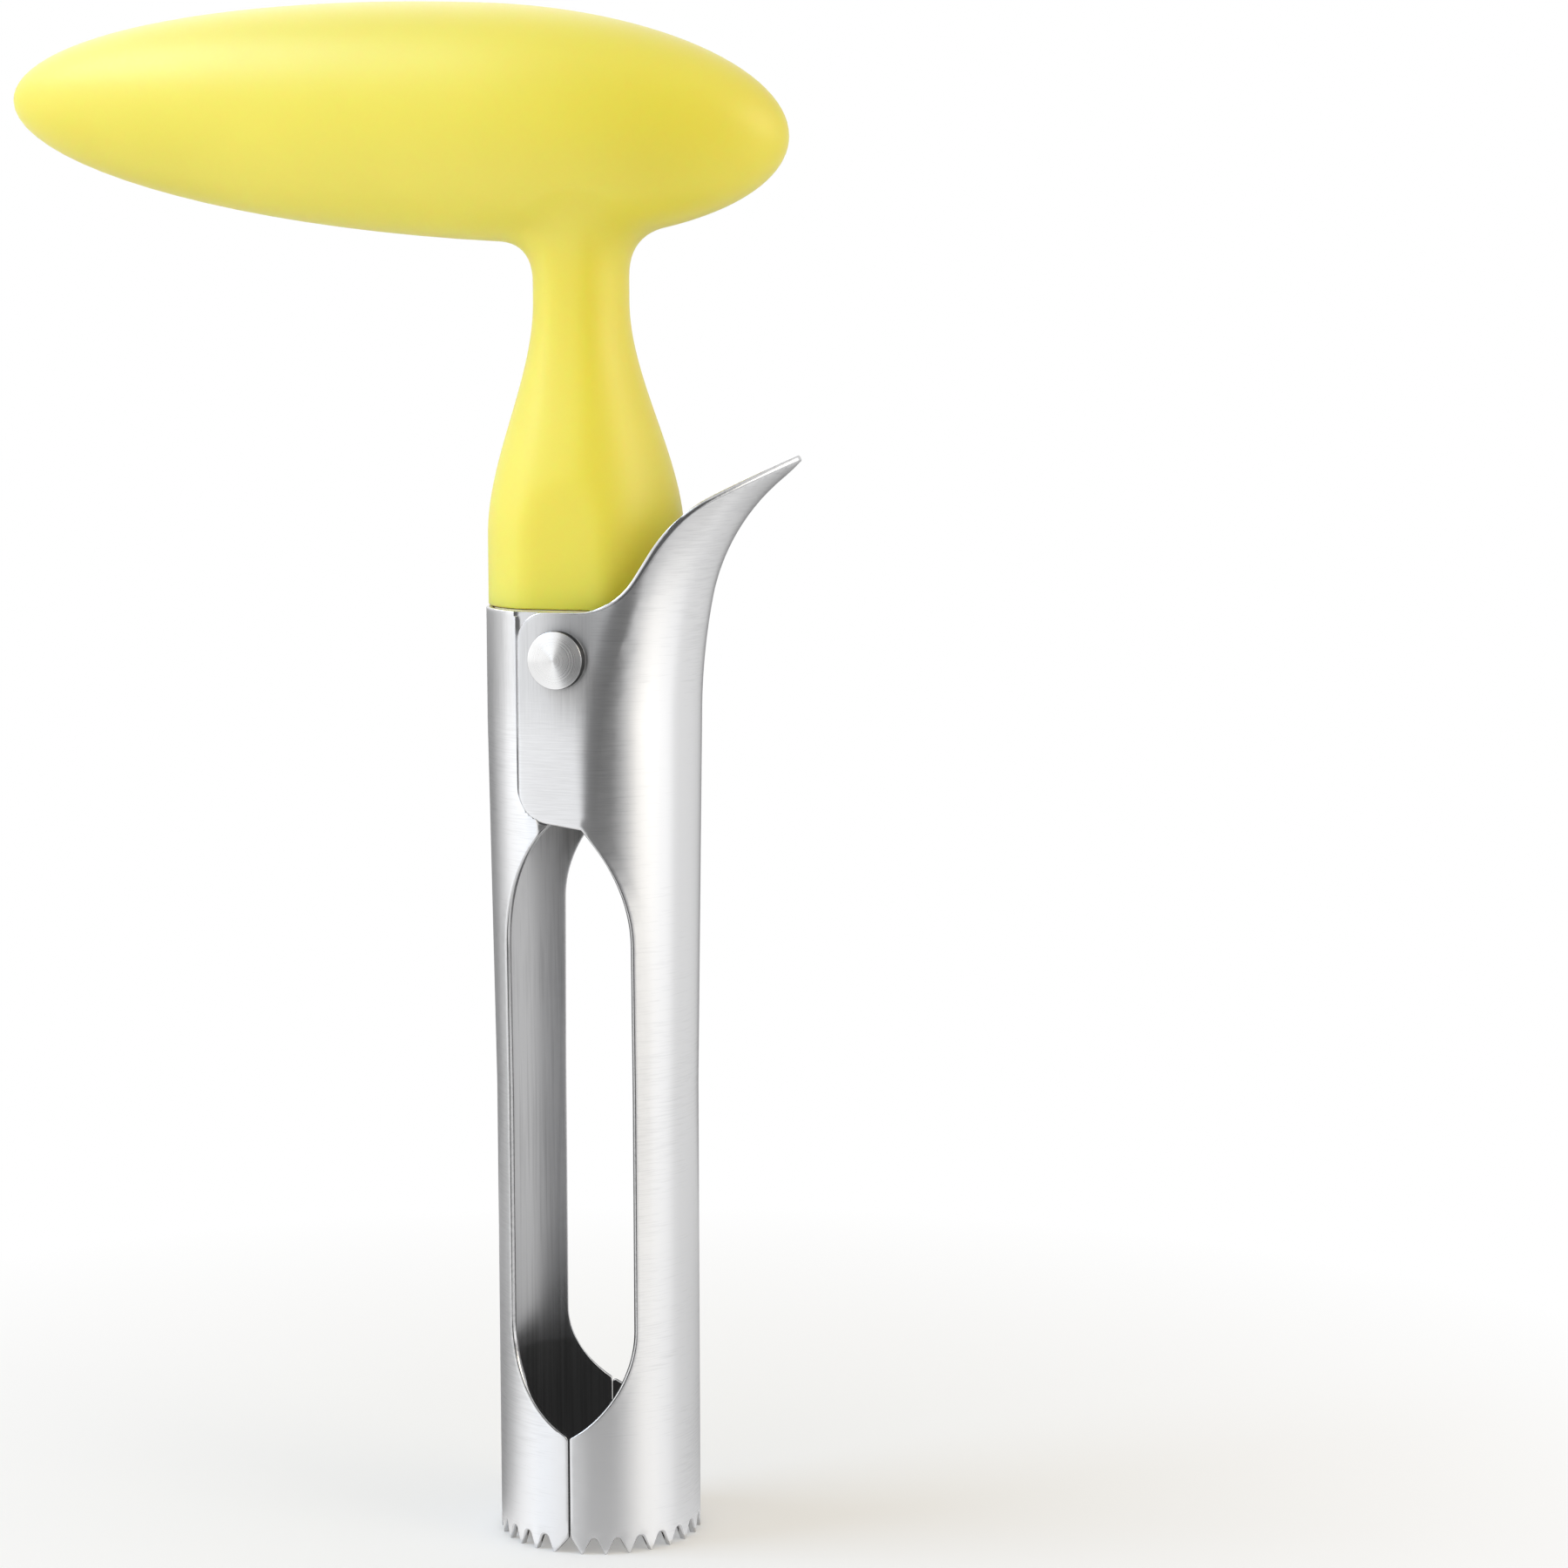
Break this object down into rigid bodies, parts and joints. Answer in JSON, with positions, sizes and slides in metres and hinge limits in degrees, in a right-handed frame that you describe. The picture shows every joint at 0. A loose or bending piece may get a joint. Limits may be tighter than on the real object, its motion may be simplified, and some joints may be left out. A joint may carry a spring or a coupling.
{
  "type": "apple corer",
  "caption": "Apple corer: a split, toothed steel tube under a soft T-handle, with a thumb lever that swings the tube open on a rivet so that the core drops out.",
  "frame": {"origin": "on the tube's axis, in the plane of the tips of the teeth", "axes": "+Z along the tube's axis, up to the handle; +X towards the thumb lever; -Y towards the crowned rivet head at the front"},
  "size_m": [0.0948, 0.0252, 0.1733],
  "materials": {
    "core_plastic": "moulded, matte",
    "soft_grip": "soft touch with a fine grain",
    "sheet_steel": "satin, brushed round the tube",
    "rivet_steel": "turned",
    "spring_steel": "drawn wire"
  },
  "bodies": {
    "handle": {"handle_core": "core_plastic", "handle_grip": "soft_grip", "fixed_half": "sheet_steel", "pivot_rivet": "rivet_steel", "rivet_cap": "rivet_steel", "return_spring": "spring_steel"},
    "lever": {"lever_half": "sheet_steel"}
  },
  "joints": [
    {"name": "lever_hinge", "type": "hinge", "parent": "handle", "child": "lever", "pos_m": [0, 0, 0.101], "axis": [0, -1, 0], "range_deg": [0, 15], "stiffness_Nm_per_rad": 0.15, "springref_deg": -20.05, "deforming": ["return_spring"]}
  ]
}
